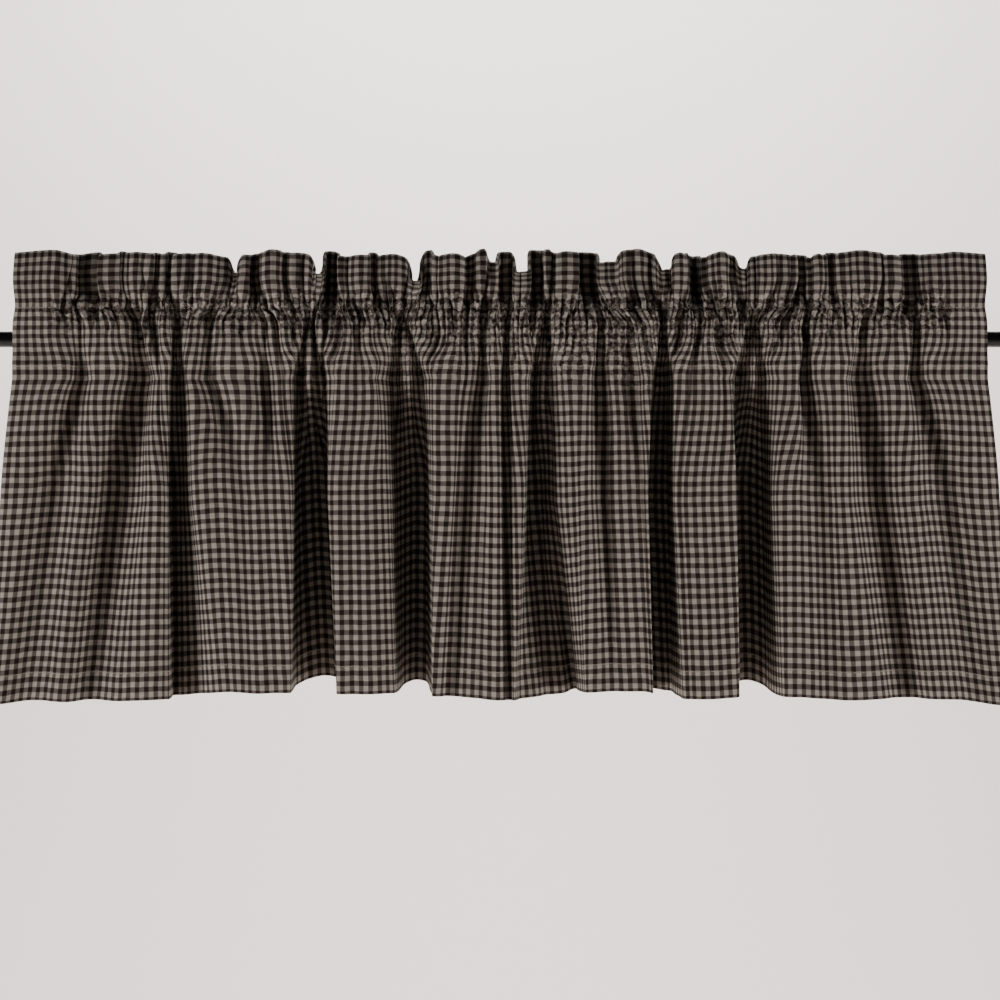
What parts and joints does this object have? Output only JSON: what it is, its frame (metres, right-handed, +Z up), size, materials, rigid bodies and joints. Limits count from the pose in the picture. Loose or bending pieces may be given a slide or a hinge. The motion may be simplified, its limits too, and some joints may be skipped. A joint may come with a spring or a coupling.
{
  "type": "gathered window valance on curtain rod",
  "caption": "Gathered rod-pocket valance of small checked cotton with a standing header ruffle and uneven hanging folds, on a plain straight round rod.",
  "frame": {"origin": "middle of the rod on its axis, where the wall brackets carry it", "axes": "+X along the rod to the right as seen from the room, +Y towards the window or wall, +Z up; the cloth's face looks along -Y"},
  "size_m": [0.9144, 0.0715, 0.3567],
  "materials": {
    "checked_cotton": "soft matt cotton in a small even check of near black and warm beige, plain weave",
    "black_enamel": "smooth glossy black enamel"
  },
  "bodies": {
    "root": {"valance": "checked_cotton", "rod": "black_enamel"}
  },
  "joints": []
}
